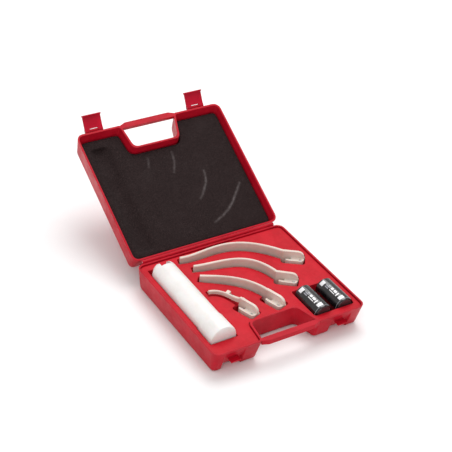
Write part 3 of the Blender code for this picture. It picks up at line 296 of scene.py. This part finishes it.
def jacket(name, centre):
    """Glossy black sleeve with plain silver and white printed blocks, and a metal ring at each end."""
    tree = Tree(name)
    split = tree.node("ShaderNodeSeparateXYZ", {"Vector": tree.place()})
    across = tree.math("SUBTRACT", split.outputs["X"], centre[0])
    up = tree.math("SUBTRACT", split.outputs["Z"], centre[2])
    angle = tree.math("ARCTAN2", across, up)
    along = tree.math("SUBTRACT", split.outputs["Y"], centre[1])

    def window(value, low, high, soft):
        rise = tree.span(value, low - soft, low + soft)
        return tree.math("MULTIPLY", rise, tree.span(value, high + soft, high - soft))

    def block(start, end, low, high):
        """1 from start to end along the cell, in mm from its middle, and low to high degrees round it."""
        length = window(along, start * MM, end * MM, PRINT_SOFTNESS)
        round_it = window(angle, math.radians(low), math.radians(high), PRINT_SOFTNESS_ANGLE)
        return tree.math("MULTIPLY", length, round_it)

    def several(*blocks):
        total = block(*blocks[0])
        for item in blocks[1:]:
            total = tree.math("MAXIMUM", total, block(*item))
        return total

    cloud = tree.span(tree.noise(120.0, 3.0), 0.4, 0.7)
    printed = tree.mix(cloud, (0.006, 0.005, 0.006), (0.014, 0.011, 0.013))
    for blocks, ink in PRINTED_BLOCKS:
        printed = tree.mix(several(*blocks), printed, ink)
    far_ring = tree.span(along, *(y * MM for y in FAR_RING))
    ends = tree.math("MAXIMUM", far_ring, tree.span(along, *(y * MM for y in NEAR_RING)))
    tree.set(
        Base_Color=tree.mix(ends, printed, (0.22, 0.20, 0.21)),
        Metallic=tree.math("MULTIPLY", ends, 0.9),
        Roughness=tree.span(tree.noise(200.0, 3.0), 0.3, 0.8, 0.14, 0.28),
        Normal=tree.bump(tree.noise(260.0, 2.0), 0.06, 0.0003, tree.bevel(0.0005)),
    )
    tree.set(Coat_Weight=0.4, Coat_Roughness=0.08)
    return tree.material


def floor_material():
    tree = Tree("floor_pale")
    cloud = tree.noise(6.0, 4.0, 0.6)
    tree.set(
        Base_Color=tree.mix(tree.span(cloud, 0.3, 0.7), (0.90, 0.90, 0.90), (0.93, 0.93, 0.93)),
        Roughness=tree.span(cloud, 0.3, 0.7, 0.75, 0.85),
    )
    return tree.material


# ---------------------------------------------------------------- CAD nodes

def smoothing():
    """Geometry nodes that weld a node's split triangles and shade it smooth below an edge angle."""
    group = bpy.data.node_groups.new("weld_and_smooth", "GeometryNodeTree")
    for way in ("INPUT", "OUTPUT"):
        group.interface.new_socket("Geometry", in_out=way, socket_type="NodeSocketGeometry")
    nodes = group.nodes
    start = nodes.new("NodeGroupInput")
    strip = nodes.new("GeometryNodeRemoveAttribute")
    strip.inputs["Name"].default_value = "custom_normal"
    weld = nodes.new("GeometryNodeMergeByDistance")
    weld.inputs["Distance"].default_value = WELD_DISTANCE
    smooth = nodes.new("GeometryNodeSetShadeSmooth")
    angle = nodes.new("GeometryNodeInputMeshEdgeAngle")
    compare = nodes.new("FunctionNodeCompare")
    compare.operation = "GREATER_THAN"
    compare.inputs["B"].default_value = SMOOTH_LIMIT
    sharp = nodes.new("GeometryNodeSetShadeSmooth")
    sharp.domain = "EDGE"
    sharp.inputs["Shade Smooth"].default_value = False
    end = nodes.new("NodeGroupOutput")
    link = group.links.new
    link(start.outputs[0], strip.inputs["Geometry"])
    for before, after in ((strip, weld), (weld, smooth), (smooth, sharp)):
        link(before.outputs["Geometry"], after.inputs["Geometry"])
    link(angle.outputs["Unsigned Angle"], compare.inputs["A"])
    link(compare.outputs["Result"], sharp.inputs["Selection"])
    link(sharp.outputs["Geometry"], end.inputs[0])
    return group


def dress_nodes():
    """Gives every CAD node its material and smooth shading, and returns the finishes by slot."""
    finishes = {
        "red_plastic": red_case(),
        "white_plastic": white_plastic(),
        "ivory_plastic": ivory_plastic(),
        "charcoal_foam": foam_material(),
        "black_rubber": rubber(),
        "steel": metal("steel_bright", (0.62, 0.62, 0.64), (0.48, 0.47, 0.47), 0.28),
        "brass": metal("brass_contact", (0.78, 0.50, 0.36), (0.62, 0.36, 0.26), 0.34),
        "lamp_glass": lamp_glass(),
    }
    own = {"tray": red_tray()}
    latch = red_latch()
    dark = metal("plate_dark", (0.16, 0.13, 0.14), (0.07, 0.05, 0.06), 0.5)
    for side in ("left", "right"):
        own["latch_" + side] = latch
        low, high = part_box("cell_" + side + "_jacket")
        own["cell_" + side + "_negative_plate"] = dark
        own["cell_" + side + "_jacket"] = jacket("jacket_" + side, (low + high) / 2)
    group = smoothing()
    for name, obj in NODES.items():
        packed = obj.material_slots[0].material.name.split(".")[0]
        finish = own.get(name) or finishes[packed]
        for slot in obj.material_slots:
            slot.material = finish
        obj.modifiers.new("smooth", "NODES").node_group = group
    return finishes


# ---------------------------------------------------------------- lid

def lid_open():
    """From the closed lid's place to the open one."""
    back = Matrix.Translation(HINGE)
    return back @ Matrix.Rotation(-LID_OPEN, 4, "X") @ Matrix.Translation(-HINGE)


def rounded_path(points):
    """The path with its corners cut three times, so that it runs as a curve."""
    for _ in range(3):
        cut = [points[0]]
        for a, b in zip(points, points[1:]):
            cut += [a.lerp(b, 0.25), a.lerp(b, 0.75)]
        points = [*cut, points[-1]]
    return points


def distance_to_path(point, path):
    """(distance to the path, share of the way along it)."""
    best = (1.0, 0.0)
    for index, (a, b) in enumerate(zip(path, path[1:])):
        along = b - a
        share = max(0.0, min(1.0, (point - a).dot(along) / along.length_squared))
        best = min(best, ((point - a - along * share).length, (index + share) / (len(path) - 1)))
    return best


# The width and depth of the lines rubbed on the foam, the size of its voxels and its rounds of smoothing.
MARK_WIDTH = 0.0016
MARK_DEPTH = 0.0006
FOAM_VOXEL = 0.0013
FOAM_ROUNDS = 30

# Height on the closed lid: the free face lies below it.
FOAM_FREE_FACE = 0.055

# Rubbed lines on the foam, as (x, y) in mm on the closed lid, and how strong each is.
FOAM_MARKS = (
    (((48.8, -8.8), (45, 9.2), (33, 24.7), (22.5, 35.2)), 0.9),
    (((93, 24.0), (79, 39.5), (58, 60.7), (26, 74.5)), 1.0),
    (((15, -48.3), (12, -30.3), (3, -13.3)), 0.6),
    (((-23, -47.3), (-29, -30.3)), 0.4),
)


def soften(mesh, rounds):
    """Relaxes the mesh, so that the cut edges and the handle's dent read as soft foam."""
    bm = bmesh.new()
    bm.from_mesh(mesh)
    every_axis = {"use_axis_" + axis: True for axis in "xyz"}
    for _ in range(rounds):
        bmesh.ops.smooth_vert(bm, verts=bm.verts, factor=0.5, **every_axis)
    bm.to_mesh(mesh)
    bm.free()


def remeshed(name, source):
    """A copy of a CAD node's mesh in even voxels, as a new object."""
    mesh = source.data.copy()
    mesh.name = name
    copy = bpy.data.objects.new(name, mesh)
    bpy.context.scene.collection.objects.link(copy)
    bm = bmesh.new()
    bm.from_mesh(mesh)
    bmesh.ops.remove_doubles(bm, verts=bm.verts, dist=WELD_DISTANCE)
    bm.to_mesh(mesh)
    bm.free()
    remesh = copy.modifiers.new("remesh", "REMESH")
    remesh.mode = "VOXEL"
    remesh.voxel_size = FOAM_VOXEL
    graph = bpy.context.evaluated_depsgraph_get()
    made = bpy.data.meshes.new_from_object(copy.evaluated_get(graph))
    copy.modifiers.clear()
    copy.data = made
    return copy


def mark_at(place, paths):
    """How strongly the blades have rubbed the foam at a place on the closed lid."""
    flat = Vector((place.x, place.y))
    mark = 0.0
    for path, strength in paths:
        near, way = distance_to_path(flat, path)
        fade = math.sin(math.pi * min(1.0, max(0.0, way))) ** 0.6
        wobble = 1.0 + 0.5 * noise.noise(place * 160.0)
        mark = max(mark, strength * fade * wobble * math.exp(-((near / MARK_WIDTH) ** 2)))
    return mark


def foam_pad(finish):
    """The foam of the lid: remeshed from its solid, softened, grained, dented, and rubbed by the blades."""
    pad = remeshed("foam_pad", NODES["lid_foam"])
    soften(pad.data, FOAM_ROUNDS)
    opened = lid_open()
    closed = opened.inverted()
    paths = [(rounded_path([Vector(p) * MM for p in path]), strength) for path, strength in FOAM_MARKS]
    rub = pad.data.attributes.new("rub", "FLOAT", "POINT")
    for index, vertex in enumerate(pad.data.vertices):
        place = closed @ vertex.co
        mark = mark_at(place, paths)
        rub.data[index].value = mark
        grain = noise.noise(place * 520.0) * 0.00022 + noise.noise(place * 90.0) * 0.00025
        if place.z < FOAM_FREE_FACE:
            place.z += abs(grain) + MARK_DEPTH * mark
        vertex.co = opened @ place
    pad.data.update()
    pad.data.shade_smooth()
    pad.data.materials.clear()
    pad.data.materials.append(finish)
    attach(pad, "lid")
    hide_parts("lid_foam")
    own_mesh(pad)


# ---------------------------------------------------------------- stage

def camera():
    """The photo's camera."""
    a, e, r = (math.radians(v) for v in (CAMERA_AZIMUTH, CAMERA_ELEVATION, CAMERA_ROLL))
    back = Vector((math.sin(a) * math.cos(e), -math.cos(a) * math.cos(e), math.sin(e)))
    forward = -back
    right = forward.cross(Vector((0, 0, 1))).normalized()
    down = forward.cross(right)
    turned_right = right * math.cos(r) - down * math.sin(r)
    turned_down = right * math.sin(r) + down * math.cos(r)
    data = bpy.data.cameras.new("camera")
    data.sensor_width = SENSOR
    data.lens = CAMERA_LENS
    data.clip_end = CAMERA_REACH
    made = bpy.data.objects.new("camera", data)
    bpy.context.scene.collection.objects.link(made)
    columns = Matrix((turned_right, -turned_down, back)).transposed()
    made.matrix_world = Matrix.Translation(CAMERA_PLACE) @ columns.to_4x4()
    bpy.context.scene.camera = made


def area_light(name, place, target, size, power):
    """A round lamp at a place, facing the target."""
    data = bpy.data.lights.new(name, "AREA")
    data.shape = "DISK"
    data.size = size
    data.energy = power
    lamp = bpy.data.objects.new(name, data)
    bpy.context.scene.collection.objects.link(lamp)
    lamp.location = place
    lamp.rotation_euler = (Vector(target) - Vector(place)).to_track_quat("-Z", "Y").to_euler()


def stage():
    """The pale floor, the even sky and the lamps."""
    bm = bmesh.new()
    bmesh.ops.create_grid(bm, x_segments=8, y_segments=8, size=FLOOR_HALF_SIZE)
    mesh = bpy.data.meshes.new("floor")
    bm.to_mesh(mesh)
    bm.free()
    floor = bpy.data.objects.new("floor", mesh)
    floor.location.z = -FLOOR_DROP
    bpy.context.scene.collection.objects.link(floor)
    mesh.materials.append(floor_material())
    world = bpy.data.worlds.new("studio")
    world.use_nodes = True
    sky = world.node_tree.nodes["Background"]
    sky.inputs["Color"].default_value = SKY_COLOUR
    sky.inputs["Strength"].default_value = SKY_STRENGTH
    bpy.context.scene.world = world
    bpy.context.scene.view_settings.view_transform = "Standard"
    for light in LIGHTS:
        area_light(*light)


def main():
    finishes = dress_nodes()
    foam_pad(finishes["charcoal_foam"])
    stage()
    camera()


main()
